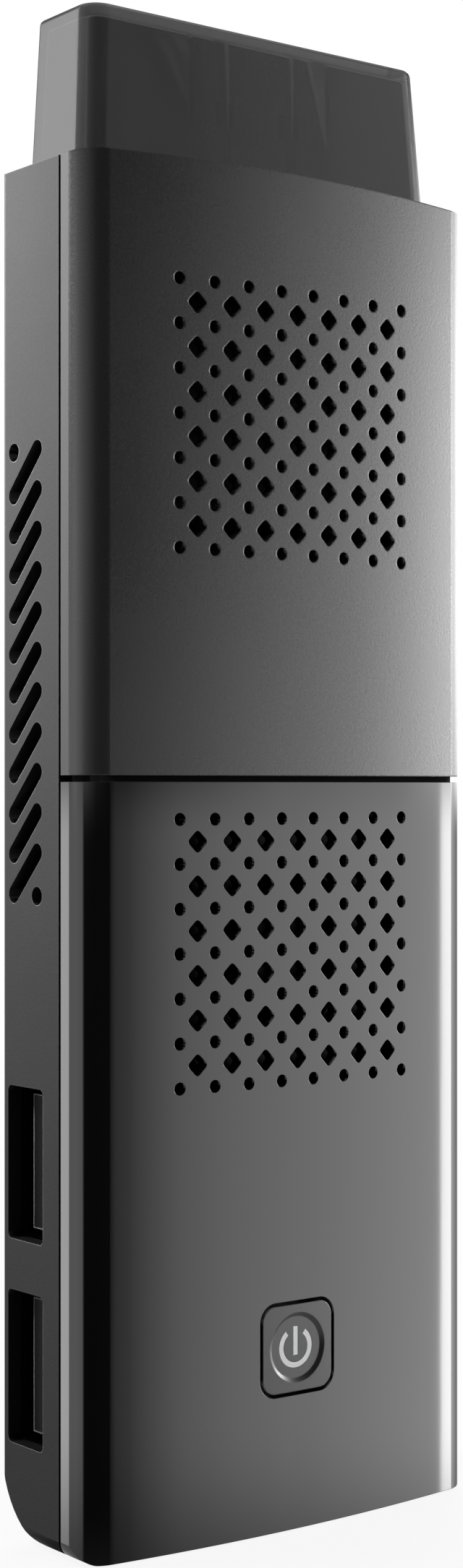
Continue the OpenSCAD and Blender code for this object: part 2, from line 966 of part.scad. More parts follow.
antenna_w = 4.4;
antenna_h = 1.6;
antenna_t = 0.8;
antenna_gap = 1;
antenna_drop = 0.4;

module chip_antennas() {
    color("ivory")
    for (s = [-1, 1])
        on_front(s*(base_w/2 + antenna_gap + antenna_w/2), board_high - antenna_drop - antenna_h/2,
                 antenna_w, antenna_h, antenna_t);
}

// Video plug

module plug_base() {
    color("black")
    difference() {
        block([-base_w/2, base_front, base_low], [base_w/2, base_back, base_top]);
        block([-base_w, board_front, base_low - over], [base_w, board_back, board_notch_z]);
    }
}

module plug_shell() {
    window = 2;
    color("silver")
    difference() {
        along_z(base_top, plug_l)
            difference() {
                d_outline(plug_w, plug_h, plug_cut);
                d_outline(plug_w - 2*plug_sheet, plug_h - 2*plug_sheet, plug_cut);
            }
        for (s = [-1, 1])
            block([s*plug_w/4 - window/2, -plug_h, 0.4*plug_l], [s*plug_w/4 + window/2, plug_h, 0.4*plug_l + window]);
    }
}

plug_block = 3.2;
plug_plate_w = 11;
plug_plate_t = 0.75;

module plug_insulator() {
    inner = plug_h/2 - plug_sheet;
    color("black")
    union() {
        along_z(base_top, plug_block)
            d_outline(plug_w - 2*plug_sheet, plug_h - 2*plug_sheet, plug_cut);
        block([-plug_plate_w/2, -inner, plug_block - over], [plug_plate_w/2, -inner + plug_plate_t, plug_l - 0.6]);
        block([-plug_plate_w/2 + 1, inner - plug_plate_t, plug_block - over], [plug_plate_w/2 - 1, inner, plug_l - 0.6]);
    }
}

// Two rows of contact strips, one on each plate
module plug_contacts() {
    face = plug_h/2 - plug_sheet - plug_plate_t;
    strip = 0.12;
    half = 0.2;
    color("gold")
    for (row = [0, 1], i = [0:plug_pins - 1 - row]) {
        x = i - (plug_pins - 1 - row)/2;
        y = row == 0 ? -face : face - strip;
        block([x - half, y, plug_block], [x + half, y + strip, plug_l - 1.2]);
    }
}

// Side ports

port_block = 1.9;
tongue_y = port_y + tongue_shift;

module port_shell(z) {
    color("silver")
    along_x(port_mouth_x, port_mouth_x + port_l)
        translate([port_y, z])
            difference() {
                square([port_out_h, port_out_w], center = true);
                square([port_in_h, port_in_w], center = true);
            }
}

module port_tongue(z) {
    far = port_mouth_x + port_l;
    color("black")
    union() {
        along_x(far - port_block, far)
            translate([port_y, z])
                square([port_in_h, port_in_w], center = true);
        along_x(port_mouth_x + tongue_back, far - port_block/2)
            translate([tongue_y, z])
                square([tongue_t, tongue_w], center = true);
    }
}

module port_contacts(z) {
    strip = 0.12;
    face = tongue_y - tongue_t/2;
    reach = 6.4;
    color("gold")
    for (off = [-3.5, -1, 1, 3.5])
        block([port_mouth_x + tongue_back + 0.8, face - strip, z + off - 0.5],
              [port_mouth_x + tongue_back + 0.8 + reach, face, z + off + 0.5]);
}

// Power inlet and card cage in the right side wall

inlet_sheet = 0.25;
inlet_cut = 0.7;
inlet_block = 1.4;

module inlet_outline(inset) {
    translate([board_back + inlet_h/2, port_low_z])
        rotate(-90)
            d_outline(inlet_w - 2*inset, inlet_h - 2*inset, inlet_cut);
}

module inlet_shell() {
    mouth = body_w/2 - inlet_mouth;
    color("silver")
    along_x(mouth - inlet_l, mouth)
        difference() {
            inlet_outline(0);
            inlet_outline(inlet_sheet);
        }
}

module inlet_tongue() {
    mouth = body_w/2 - inlet_mouth;
    color("black")
    union() {
        along_x(mouth - inlet_l, mouth - inlet_l + inlet_block)
            inlet_outline(inlet_sheet);
        along_x(mouth - inlet_l + inlet_block/2, mouth - 0.8)
            translate([board_back + inlet_h/2, port_low_z])
                square([0.6, 4], center = true);
    }
}

module card_cage() {
    mouth = body_w/2 - wall;
    sheet = 0.2;
    color("silver")
    difference() {
        block([mouth - card_l, board_back, card_z - card_w/2], [mouth, board_back + card_h, card_z + card_w/2]);
        block([mouth - card_l + 1.5, board_back + sheet, card_z - card_w/2 + 1.5],
              [mouth + over, board_back + card_h - sheet, card_z + card_w/2 - 1.5]);
    }
}

// Blower

// Scroll outline with its outlet towards the heat spreader, drawn in by inset
module scroll(inset, outlet) {
    r = blower_r - inset;
    circle(r);
    translate([-r, 0])
        square([outlet_w - 2*inset, outlet]);
}

module blower_frame() {
    color("black")
    translate([0, 0, blower_z])
    difference() {
        union() {
            along_y(blower_top + blower_lid, board_front)
                scroll(0, outlet_l);
            for (p = ear_spots)
                along_y(board_front - blower_ear_h, board_front)
                    translate(p)
                        circle(r = blower_ear_r);
        }
        along_y(blower_top - over, board_front - blower_base)
            scroll(blower_wall, outlet_l + over);
        for (p = ear_spots)
            along_y(board_front - blower_ear_h - over, board_front + over)
                translate(p)
                    circle(d = blower_screw_d + 2*screw_fit);
    }
}

module blower_cover() {
    color("silver")
    translate([0, 0, blower_z])
    along_y(blower_top, blower_top + blower_lid)
        difference() {
            scroll(0, outlet_l);
            circle(inlet_r);
        }
}

module blower_screws() {
    head = 0.7;
    color("silver")
    translate([0, 0, blower_z])
    for (p = ear_spots) {
        along_y(board_front - blower_ear_h - head, board_front - blower_ear_h)
            translate(p)
                circle(d = blower_screw_head_d);
        along_y(board_front - blower_ear_h - head/2, board_back)
            translate(p)
                circle(d = blower_screw_d);
    }
}

// One blade, bent along an arc from the hub to the tip
module blade_outline() {
    bend = 0.9*impeller_r;
    intersection() {
        difference() {
            circle(impeller_r);
            circle(hub_r - hub_wall/2);
        }
        translate([0, bend])
            difference() {
                circle(bend + blade_t/2);
                circle(bend - blade_t/2);
            }
        square([impeller_r, bend]);
    }
}

module impeller() {
    color("dimgray")
    translate([0, 0, blower_z])
    difference() {
        union() {
            along_y(fan_front, fan_back)
                circle(hub_r);
            along_y(fan_back - disc_t, fan_back)
                circle(impeller_r - blade_t);
            along_y(fan_front + fan_gap, fan_back - disc_t/2)
                for (i = [0:blade_count - 1])
                    rotate(360*i/blade_count)
                        blade_outline();
        }
        along_y(fan_front + hub_wall, fan_back + over)
            circle(hub_r - hub_wall);
        along_y(fan_front - over, fan_back)
            circle(d = shaft_d);
    }
}

module fan_shaft() {
    color("silver")
    translate([0, 0, blower_z])
    along_y(fan_front, board_front - blower_base - fan_gap/3)
        circle(d = shaft_d);
}

module fan_bearing() {
    color("goldenrod")
    translate([0, 0, blower_z])
    along_y(bearing_front, board_front - blower_base)
        difference() {
            circle(d = shaft_d + 2*shaft_play + 2*bearing_wall);
            circle(d = shaft_d + 2*shaft_play);
        }
}

module fan_stator() {
    inner = shaft_d/2 + shaft_play + bearing_wall;
    color("peru")
    translate([0, 0, blower_z])
    along_y(bearing_front + fan_gap, board_front - blower_base)
        difference() {
            circle(hub_r - hub_wall - fan_gap);
            circle(inner);
        }
}

connector_w = 4.4;
connector_x = 4;
connector_drop = 1.4;

module fan_connector() {
    color("ivory")
    on_front(connector_x, blower_z - blower_r - connector_drop - 1.5, connector_w, 3, 1.3);
}

// Flat lead between the blower and its connector
module fan_lead() {
    top = blower_z - sqrt(blower_r*blower_r - pow(connector_x + connector_w/2 - 0.7, 2));
    low = blower_z - blower_r - connector_drop;
    color("black")
    difference() {
        block([connector_x - connector_w/2 + 0.7, board_front - 0.3, low],
              [connector_x + connector_w/2 - 0.7, board_front, top]);
        translate([0, 0, blower_z])
            along_y(board_front - over, board_front + over)
                circle(blower_r);
    }
}

rear_housing();
upper_cover();
lower_cover();
plug_cap();
power_key();
power_symbol();
switch_plunger();
switch_body();
status_lamp();
main_board();
board_screws();
plug_base();
plug_shell();
plug_insulator();
plug_contacts();
port_shell(port_high_z);  // port_shell_upper
port_tongue(port_high_z);  // port_tongue_upper
port_contacts(port_high_z);  // port_contacts_upper
port_shell(port_low_z);  // port_shell_lower
port_tongue(port_low_z);  // port_tongue_lower
port_contacts(port_low_z);  // port_contacts_lower
inlet_shell();
inlet_tongue();
card_cage();
processor();
thermal_pad();
heat_spreader();
memory_chips();
storage_chip();
power_chip();
power_coils();
radio_module();
chip_antennas();
blower_frame();
blower_cover();
blower_screws();
impeller();
fan_shaft();
fan_bearing();
fan_stator();
fan_connector();
fan_lead();
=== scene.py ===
import bmesh
import bpy
import json
import math
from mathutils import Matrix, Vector


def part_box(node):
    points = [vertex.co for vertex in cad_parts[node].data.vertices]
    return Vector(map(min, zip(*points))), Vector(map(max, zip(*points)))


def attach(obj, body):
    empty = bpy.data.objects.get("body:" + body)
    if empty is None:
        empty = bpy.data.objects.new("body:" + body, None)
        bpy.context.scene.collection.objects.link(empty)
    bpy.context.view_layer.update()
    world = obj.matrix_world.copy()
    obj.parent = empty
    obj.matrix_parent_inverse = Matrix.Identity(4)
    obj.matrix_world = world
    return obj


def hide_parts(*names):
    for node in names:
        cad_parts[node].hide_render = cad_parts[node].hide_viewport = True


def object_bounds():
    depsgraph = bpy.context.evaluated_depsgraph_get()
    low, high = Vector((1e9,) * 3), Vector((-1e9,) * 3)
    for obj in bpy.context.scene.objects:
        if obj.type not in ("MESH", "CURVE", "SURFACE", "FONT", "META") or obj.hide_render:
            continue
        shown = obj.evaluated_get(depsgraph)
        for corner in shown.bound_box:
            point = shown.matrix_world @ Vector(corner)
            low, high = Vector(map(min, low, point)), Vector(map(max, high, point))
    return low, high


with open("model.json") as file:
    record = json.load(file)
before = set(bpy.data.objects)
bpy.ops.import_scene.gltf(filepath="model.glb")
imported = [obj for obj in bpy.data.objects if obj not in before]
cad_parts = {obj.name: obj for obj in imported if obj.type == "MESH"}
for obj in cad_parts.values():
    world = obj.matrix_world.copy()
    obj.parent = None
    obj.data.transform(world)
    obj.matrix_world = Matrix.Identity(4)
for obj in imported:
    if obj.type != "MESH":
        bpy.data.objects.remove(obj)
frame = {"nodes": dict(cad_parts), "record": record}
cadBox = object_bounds()
nodes = frame["nodes"]
bodyOf = {n: b for b, members in frame["record"]["behaviour"]["bodies"].items() for n in members}
slotOf = {s["node"]: s["material_slot"] for s in frame["record"]["subparts"]}
scene = bpy.context.scene
print("frame loaded:", len(nodes), "nodes")


# helpers for node trees

def emptyTree(owner):
    owner.use_nodes = True
    owner.node_tree.nodes.clear()
    return owner.node_tree


def newGroup(name, inputs, outputs):
    tree = bpy.data.node_groups.new(name, "ShaderNodeTree")
    for label, kind in inputs.items():
        tree.interface.new_socket(name=label, in_out="INPUT", socket_type=kind)
    for label, kind in outputs.items():
        tree.interface.new_socket(name=label, in_out="OUTPUT", socket_type=kind)
    return tree


def addNode(tree, kind, **settings):
    node = tree.nodes.new(kind)
    for key, value in settings.items():
        setattr(node, key, value)
    return node


# plain numbers are set on the sockets, outputs of other nodes are linked to them
def mathNode(tree, operation, *values):
    node = addNode(tree, "ShaderNodeMath", operation=operation)
    for socket, value in zip(node.inputs, values):
        if isinstance(value, (int, float)):
            socket.default_value = value
        else:
            tree.links.new(value, socket)
    return node.outputs[0]


# 0 at start and 1 at end, with a soft step between them
def fade(tree, value, start, end):
    step = addNode(tree, "ShaderNodeMapRange", interpolation_type="SMOOTHSTEP")
    step.inputs["From Min"].default_value = start
    step.inputs["From Max"].default_value = end
    tree.links.new(value, step.inputs["Value"])
    return step.outputs["Result"]


# 1 between two soft borders, each given as a pair of values
def window(tree, value, low, high):
    return mathNode(tree, "MULTIPLY", fade(tree, value, *low), fade(tree, value, *high[::-1]))


# 1 for the camera and for what is seen through glass
def seenDirectly(tree):
    path = addNode(tree, "ShaderNodeLightPath")
    return mathNode(tree, "MAXIMUM", path.outputs["Is Camera Ray"], path.outputs["Is Transmission Ray"])


# shared effects, as groups that each finish sets its own values on; stretch gives the grain a direction
surfaceLook = {
    "mouldGrain": {"stretch": (1, 1, 1), "fineDetail": 2, "broadScale": 70, "broadDetail": 3},
    "polishMarks": {"stretch": (1, 1, 0.08), "fineDetail": 3, "broadScale": 45, "broadDetail": 3},
    "sheetBrush": {"stretch": (1, 0.06, 1), "fineDetail": 2, "broadScale": 160, "broadDetail": 3},
}


# colour, roughness and height that wander over the surface
def surfaceGroup(name, look):
    colour, number = "NodeSocketColor", "NodeSocketFloat"
    tree = newGroup(
        name,
        {"Colour": colour, "Spread": number, "Grain": number, "Roughness": number, "Rough Spread": number},
        {"Colour": colour, "Roughness": number, "Height": number},
    )
    given = addNode(tree, "NodeGroupInput")
    result = addNode(tree, "NodeGroupOutput")
    place = addNode(tree, "ShaderNodeTexCoord")
    mapping = addNode(tree, "ShaderNodeMapping")
    mapping.inputs["Scale"].default_value = look["stretch"]
    fine = addNode(tree, "ShaderNodeTexNoise")
    fine.inputs["Detail"].default_value = look["fineDetail"]
    broad = addNode(tree, "ShaderNodeTexNoise")
    broad.inputs["Scale"].default_value = look["broadScale"]
    broad.inputs["Detail"].default_value = look["broadDetail"]
    tree.links.new(place.outputs["Object"], mapping.inputs["Vector"])
    tree.links.new(mapping.outputs["Vector"], fine.inputs["Vector"])
    tree.links.new(given.outputs["Grain"], fine.inputs["Scale"])
    tree.links.new(place.outputs["Object"], broad.inputs["Vector"])
    both = mathNode(tree, "ADD", fine.outputs["Fac"], broad.outputs["Fac"])
    swing = mathNode(tree, "SUBTRACT", both, 1.0)  # each noise is about 0.5, so this swings round zero
    shade = mathNode(tree, "MULTIPLY_ADD", swing, given.outputs["Spread"], 1.0)
    tint = addNode(tree, "ShaderNodeVectorMath", operation="SCALE")
    tree.links.new(given.outputs["Colour"], tint.inputs[0])
    tree.links.new(shade, tint.inputs["Scale"])
    tree.links.new(tint.outputs["Vector"], result.inputs["Colour"])
    rough = mathNode(tree, "MULTIPLY_ADD", swing, given.outputs["Rough Spread"], given.outputs["Roughness"])
    tree.links.new(rough, result.inputs["Roughness"])
    tree.links.new(fine.outputs["Fac"], result.inputs["Height"])
    return tree


# how far a rounded normal leans from the true one, as a cosine: where the painted highlight starts and is
# full
edgeLook = {"start": 0.98, "full": 0.75}


# a mask that is 1 along outer and inner edges, for a painted edge highlight
def edgeGroup(name):
    tree = newGroup(name, {"Radius": "NodeSocketFloat"}, {"Mask": "NodeSocketFloat"})
    given = addNode(tree, "NodeGroupInput")
    result = addNode(tree, "NodeGroupOutput")
    rounded = addNode(tree, "ShaderNodeBevel")
    tree.links.new(given.outputs["Radius"], rounded.inputs["Radius"])
    surface = addNode(tree, "ShaderNodeNewGeometry")
    alike = addNode(tree, "ShaderNodeVectorMath", operation="DOT_PRODUCT")
    tree.links.new(rounded.outputs["Normal"], alike.inputs[0])
    tree.links.new(surface.outputs["Normal"], alike.inputs[1])
    mask = addNode(tree, "ShaderNodeMapRange")
    mask.inputs["From Min"].default_value = edgeLook["start"]
    mask.inputs["From Max"].default_value = edgeLook["full"]
    tree.links.new(alike.outputs["Value"], mask.inputs["Value"])
    tree.links.new(mask.outputs["Result"], result.inputs["Mask"])
    return tree


surfaces = {name: surfaceGroup(name, look) for name, look in surfaceLook.items()}
edgeWear = edgeGroup("edgeWear")
print("surface groups ready")


# what a finish has unless it says otherwise
plainFinish = {
    "spread": 0.1, "grain": 4000, "roughSpread": 0.08, "bump": 0.1, "bumpDepth": 0.00004, "sockets": {},
}


# one finish: a shared effect with its own values, and constants straight on the shader
def finishMaterial(name, ownLook):
    look = {**plainFinish, **ownLook}
    material = bpy.data.materials.new(name)
    tree = emptyTree(material)
    out = addNode(tree, "ShaderNodeOutputMaterial")
    shader = addNode(tree, "ShaderNodeBsdfPrincipled")
    effect = addNode(tree, "ShaderNodeGroup", node_tree=surfaces[look["effect"]])
    effect.inputs["Colour"].default_value = (*look["colour"], 1)
    effect.inputs["Spread"].default_value = look["spread"]
    effect.inputs["Grain"].default_value = look["grain"]
    effect.inputs["Roughness"].default_value = look["rough"]
    effect.inputs["Rough Spread"].default_value = look["roughSpread"]
    bump = addNode(tree, "ShaderNodeBump")
    bump.inputs["Strength"].default_value = look["bump"]
    bump.inputs["Distance"].default_value = look["bumpDepth"]
    if "edge" in look:  # moulded edges are never dead sharp
        edge = addNode(tree, "ShaderNodeBevel")
        edge.inputs["Radius"].default_value = look["edge"]
        tree.links.new(edge.outputs["Normal"], bump.inputs["Normal"])
    colour = effect.outputs["Colour"]
    if "paintedEdgeColour" in look:  # painted highlight: edges get a lighter colour
        highlightMask = addNode(tree, "ShaderNodeGroup", node_tree=edgeWear)
        highlightMask.inputs["Radius"].default_value = look["paintedEdgeWidth"]
        blend = addNode(tree, "ShaderNodeMix", data_type="RGBA")
        tree.links.new(highlightMask.outputs["Mask"], blend.inputs["Factor"])
        tree.links.new(colour, blend.inputs[6])  # 6, 7 and 2 are the node's colour sockets
        blend.inputs[7].default_value = (*look["paintedEdgeColour"], 1)
        colour = blend.outputs[2]
    tree.links.new(colour, shader.inputs["Base Color"])
    tree.links.new(effect.outputs["Roughness"], shader.inputs["Roughness"])
    tree.links.new(effect.outputs["Height"], bump.inputs["Height"])
    tree.links.new(bump.outputs["Normal"], shader.inputs["Normal"])
    tree.links.new(shader.outputs["BSDF"], out.inputs["Surface"])
    for socket, value in look["sockets"].items():
        shader.inputs[socket].default_value = value
    return material


finishes = {
    # the housing's edges get a painted highlight
    "housing_grey": {"effect": "mouldGrain", "colour": (0.06, 0.06, 0.061), "rough": 0.65, "bump": 0.35,
                     "spread": 0.25, "grain": 4500, "edge": 0.00012, "paintedEdgeColour": (0.3, 0.3, 0.303),
                     "paintedEdgeWidth": 0.00015, "sockets": {"Specular IOR Level": 0.03}},
    "cover_matte": {"effect": "mouldGrain", "colour": (0.012, 0.012, 0.0123), "rough": 0.28, "bump": 0.14,
                    "spread": 0.25, "grain": 4500, "edge": 0.00018},
    # the matte cover's narrow sides: a paler copy of cover_matte, a painted highlight
    "cover_side_painted_highlight": {"effect": "mouldGrain", "colour": (0.085, 0.085, 0.086), "rough": 0.5, "grain": 4500,
                   "edge": 0.00006, "sockets": {"Specular IOR Level": 0.1}},
    "cover_gloss": {"effect": "polishMarks", "colour": (0.003, 0.003, 0.0031), "rough": 0.05, "bump": 0.01,
                    "roughSpread": 0.01, "grain": 900, "edge": 0.00006},
    # near black for the lap and the walls of vents and ports: painted shade in seams and openings
    "seam_painted_shade": {"effect": "mouldGrain", "colour": (0.008, 0.008, 0.008), "rough": 0.7, "bump": 0.2,
                 "sockets": {"Specular IOR Level": 0.1}},
    "cap_smoke": {"effect": "mouldGrain", "colour": (0.11, 0.11, 0.114), "rough": 0.2, "bump": 0.03,
                  "roughSpread": 0.03, "spread": 0.06, "edge": 0.0001,
                  "sockets": {"Transmission Weight": 0.8, "IOR": 1.5}},
    "key_gloss": {"effect": "polishMarks", "colour": (0.012, 0.012, 0.0125), "rough": 0.26, "bump": 0.02,
                  "roughSpread": 0.03, "grain": 900, "edge": 0.0001},
    "symbol_white": {"effect": "mouldGrain", "colour": (0.8, 0.81, 0.82), "rough": 0.4, "spread": 0.04},
    "lamp_white": {"effect": "mouldGrain", "colour": (0.75, 0.75, 0.72), "rough": 0.2, "spread": 0.05},
    # the tongue's edges get a painted highlight
    "moulded_black": {"effect": "mouldGrain", "colour": (0.004, 0.004, 0.0042), "rough": 0.5,
                      "edge": 0.00008, "paintedEdgeColour": (0.85, 0.85, 0.85), "paintedEdgeWidth": 0.00025,
                      "sockets": {"Specular IOR Level": 0.2}},
    "shell_steel": {"effect": "sheetBrush", "colour": (0.55, 0.55, 0.56), "rough": 0.28, "grain": 2500,
                    "sockets": {"Metallic": 1.0}},
    "port_steel": {"effect": "sheetBrush", "colour": (0.06, 0.06, 0.063), "rough": 0.4, "grain": 2500,
                   "bump": 0.03, "sockets": {"Metallic": 1.0}},
    "contact_gold": {"effect": "sheetBrush", "colour": (0.75, 0.55, 0.22), "rough": 0.22, "grain": 3000,
                     "sockets": {"Metallic": 1.0}},
    "screw_steel": {"effect": "sheetBrush", "colour": (0.3, 0.3, 0.31), "rough": 0.35, "grain": 3000,
                    "sockets": {"Metallic": 1.0}},
    "board_black": {"effect": "mouldGrain", "colour": (0.006, 0.01, 0.008), "rough": 0.4, "grain": 900},
    "chip_black": {"effect": "mouldGrain", "colour": (0.01, 0.01, 0.011), "rough": 0.55, "grain": 6000},
    "pad_grey": {"effect": "mouldGrain", "colour": (0.3, 0.32, 0.36), "rough": 0.7, "grain": 2000},
    "spreader_alloy": {"effect": "sheetBrush", "colour": (0.015, 0.015, 0.016), "rough": 0.5, "grain": 2500,
                       "sockets": {"Metallic": 0.5}},
    "coil_grey": {"effect": "mouldGrain", "colour": (0.05, 0.05, 0.05), "rough": 0.55, "grain": 5000},
    "can_steel": {"effect": "sheetBrush", "colour": (0.05, 0.05, 0.052), "rough": 0.45, "grain": 2500,
                  "sockets": {"Metallic": 1.0}},
    "ceramic_pale": {"effect": "mouldGrain", "colour": (0.5, 0.48, 0.42), "rough": 0.5},
    "blower_black": {"effect": "mouldGrain", "colour": (0.006, 0.006, 0.0065), "rough": 0.55, "grain": 3000},
    "blower_plate": {"effect": "sheetBrush", "colour": (0.006, 0.006, 0.006), "rough": 0.55, "grain": 2500},
    "bearing_bronze": {"effect": "sheetBrush", "colour": (0.4, 0.26, 0.12), "rough": 0.35, "grain": 3000,
                       "sockets": {"Metallic": 1.0}},
    "winding_copper": {"effect": "sheetBrush", "colour": (0.45, 0.2, 0.1), "rough": 0.35, "grain": 5000,
                       "sockets": {"Metallic": 1.0}},
    "lead_black": {"effect": "mouldGrain", "colour": (0.01, 0.01, 0.01), "rough": 0.5, "grain": 3000},
}
materials = {name: finishMaterial(name, look) for name, look in finishes.items()}
for name, node in nodes.items():
    node.data.materials.clear()
    node.data.materials.append(materials[slotOf[name]])
print("finishes set:", len(materials))


# smooth skins over the curved shells: flat faces keep flat normals, the crown and the shoulders get those of
# their true arcs
skins = {
    "merge": 2e-6, "sharpAngle": math.radians(40), "flat": 0.99999, "evenWeight": 90,
    "crownRadius": 0.147, "shoulderRadius": 0.0027, "shoulderProud": 6e-6, "onArc": 4e-6,
}


# middle and radius of the crown and of the two shoulders, seen along the stick
def bodyArcs():
    crown, shoulder = skins["crownRadius"], skins["shoulderRadius"]
    middleY = cadBox[0][1] + crown
    besideX = cadBox[1][0] - shoulder
    reach = crown - shoulder + skins["shoulderProud"]
    besideY = middleY - math.sqrt(reach**2 - besideX**2)
    return [(0, middleY, crown), (-besideX, besideY, shoulder), (besideX, besideY, shoulder)]


def trueNormals(mesh, arcs):
    normals = [Vector((0, 0, 0))] * len(mesh.loops)  # a zero leaves a corner as it is
    for face in mesh.polygons:
        points = [mesh.vertices[v].co for v in face.vertices]
        if max(abs(part) for part in face.normal) > skins["flat"]:
            for loop in face.loop_indices:
                normals[loop] = face.normal.copy()
            continue
        for x, y, radius in arcs:
            if all(abs(math.hypot(p.x - x, p.y - y) - radius) < skins["onArc"] for p in points):
                for loop, p in zip(face.loop_indices, points):
                    normals[loop] = Vector((p.x - x, p.y - y, 0)).normalized()
    mesh.normals_split_custom_set(normals)


def skinNode(name, hasArcs):
    mesh = nodes[name].data.copy()
    piece = bpy.data.objects.new(name + "_skin", mesh)
    scene.collection.objects.link(piece)
    shape = bmesh.new()
    shape.from_mesh(mesh)
    bmesh.ops.remove_doubles(shape, verts=shape.verts, dist=skins["merge"])
    shape.to_mesh(mesh)
    shape.free()
    mesh.shade_smooth()
    mesh.set_sharp_from_angle(angle=skins["sharpAngle"])
    if hasArcs:
        trueNormals(mesh, bodyArcs())
    else:
        even = piece.modifiers.new("evenNormals", "WEIGHTED_NORMAL")
        even.keep_sharp = True
        even.weight = skins["evenWeight"]
    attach(piece, bodyOf[name])
    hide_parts(name)
    return piece


# faces with a finish of their own: the matte cover's narrow sides are paler, a painted highlight, and what
# shows in seams and openings is near black, a painted shade
faceLook = {
    "lap": 0.0004, "towardsFront": -0.5, "alongWall": 0.3,
    "wallX": 0.0165, "wallY": (-0.003, 0.0053), "wallZ": (-0.107, -0.02),
}
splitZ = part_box("upper_cover")[0][2]


def setFaces(piece, finish, chosen):
    mesh = piece.data
    mesh.materials.append(materials[finish])
    for face in mesh.polygons:
        if chosen(face):
            face.material_index = 1


# the narrow sides of the matte cover, which get the painted highlight
def isCoverSide(face):
    return abs(face.center.x) > cadBox[1][0] - skins["onArc"]


# the lap that stands behind the matte cover's lower end
def isLap(face):
    return face.center.z > splitZ - faceLook["lap"]


# the walls of the side vents and of the port openings
def isOpeningWall(face):
    x, y, z = face.center
    inWall = abs(x) > faceLook["wallX"] and abs(face.normal.x) < faceLook["alongWall"]
    inDepth = faceLook["wallY"][0] < y < faceLook["wallY"][1]
    inHeight = faceLook["wallZ"][0] < z < faceLook["wallZ"][1]
    return inWall and inDepth and inHeight


# the lip and the floor of the tray, and the walls of its openings
def isTrayInside(face):
    return face.normal.y < faceLook["towardsFront"] or isOpeningWall(face)


setFaces(skinNode("upper_cover", True), "cover_side_painted_highlight", isCoverSide)
# the lap behind the matte cover and the tray's inside get the painted shade
setFaces(skinNode("lower_cover", True), "seam_painted_shade", isLap)
setFaces(skinNode("rear_housing", True), "seam_painted_shade", isTrayInside)
skinNode("power_key", True)
skinNode("plug_cap", False)
print("skins made")


# the floor keeps the object's shadow and turns plain white further out
floorLook = {"size": 16.0, "lift": 0.0002, "colour": (0.42, 0.42, 0.42, 1), "glow": 0.9, "fade": (0.2, 0.5)}


def floorMaterial():
    material = bpy.data.materials.new("floor_pale")
    tree = emptyTree(material)
    out = addNode(tree, "ShaderNodeOutputMaterial")
    matte = addNode(tree, "ShaderNodeBsdfDiffuse")
    matte.inputs["Color"].default_value = floorLook["colour"]
    glow = addNode(tree, "ShaderNodeEmission")
    mix = addNode(tree, "ShaderNodeMixShader")
    place = addNode(tree, "ShaderNodeTexCoord")
    away = addNode(tree, "ShaderNodeVectorMath", operation="LENGTH")
    tree.links.new(place.outputs["Object"], away.inputs[0])
    far = fade(tree, away.outputs["Value"], *floorLook["fade"])
    glowing = mathNode(tree, "MULTIPLY_ADD", far, 1 - floorLook["glow"], floorLook["glow"])
    share = mathNode(tree, "MULTIPLY", seenDirectly(tree), glowing)
    tree.links.new(share, mix.inputs["Fac"])
    tree.links.new(matte.outputs["BSDF"], mix.inputs[1])
    tree.links.new(glow.outputs["Emission"], mix.inputs[2])
    tree.links.new(mix.outputs["Shader"], out.inputs["Surface"])
    return material


def makeFloor():
    shape = bmesh.new()
    bmesh.ops.create_grid(shape, x_segments=1, y_segments=1, size=floorLook["size"] / 2)
    bmesh.ops.translate(shape, verts=shape.verts, vec=(0, 0, cadBox[0][2] - floorLook["lift"]))
    mesh = bpy.data.meshes.new("floor")
    shape.to_mesh(mesh)
    shape.free()
    mesh.materials.append(floorMaterial())
    floor = bpy.data.objects.new("floor", mesh)
    scene.collection.objects.link(floor)
    floor.visible_glossy = False  # gloss shows the panels
    floor.visible_diffuse = False  # the room light comes from below too


# an even room light, and what gloss shows: two rings of soft panels, one above eye level and one below it,
# dark in front and brightest on the right; each stop is a compass angle from +X in degrees and a strength
ringLook = {
    "upper": [
        (0, 9), (8, 8), (25, 4.5), (47, 2), (60, 1.5), (130, 1.0), (156, 3.0), (180, 1.7), (200, 1.4),
        (234, 0.3), (280, 0.05), (293, 0.1), (300, 1.1), (306, 2.4), (320, 3.5), (326, 8), (329, 16),
        (332, 36), (335, 32), (338, 15), (342, 11),
    ],
    "lower": [
        (0, 1.9), (10, 1.1), (40, 0.3), (52, 0.4), (60, 1.6), (108, 1.2), (118, 0.5), (121.5, 5.3),
        (125.5, 5.3), (127, 1.5), (160, 2.3), (186, 2.2), (190, 0.4), (194, 0.04), (291, 0.04),
        (292.5, 1.2), (297, 2.6), (302, 3.3), (316, 4.4), (325, 5.0), (340, 5.5), (350, 3.4),
    ],
    "peak": 36, "low": (-0.33, -0.24), "eye": (-0.02, 0.02), "high": (0.17, 0.33), "room": 0.28,
}
fullTurn = 360

# further panels with crisp borders: where each fades in, where it fades out, its heights and its strength
everywhere = {"start": (-2, -1), "end": (362, 363)}
belowEye = {"low": ringLook["low"], "high": ringLook["eye"]}
panelLook = {
    "rightStrip": {"start": (325.0, 325.2), "end": (329, 333), **belowEye, "add": 15},
    "darkEdge": {"start": (290.35, 290.6), "end": (290.9, 292.4), **belowEye, "add": 0.7},
    "capFront": {"start": (305, 317), "end": (340, 350), "low": (0.28, 0.36), "high": (0.5, 0.6),
                 "add": 1.9},
    "capWindow": {"start": (116, 118), "end": (130, 132), "low": (0.17, 0.2), "high": (0.5, 0.6),
                  "add": 4.2},
    "overhead": {**everywhere, "low": (0.5, 0.8), "high": (1.5, 2), "add": 0.8},
    "underfoot": {**everywhere, "low": (-3, -2), "high": (-0.38, -0.27), "add": 1.0},
}


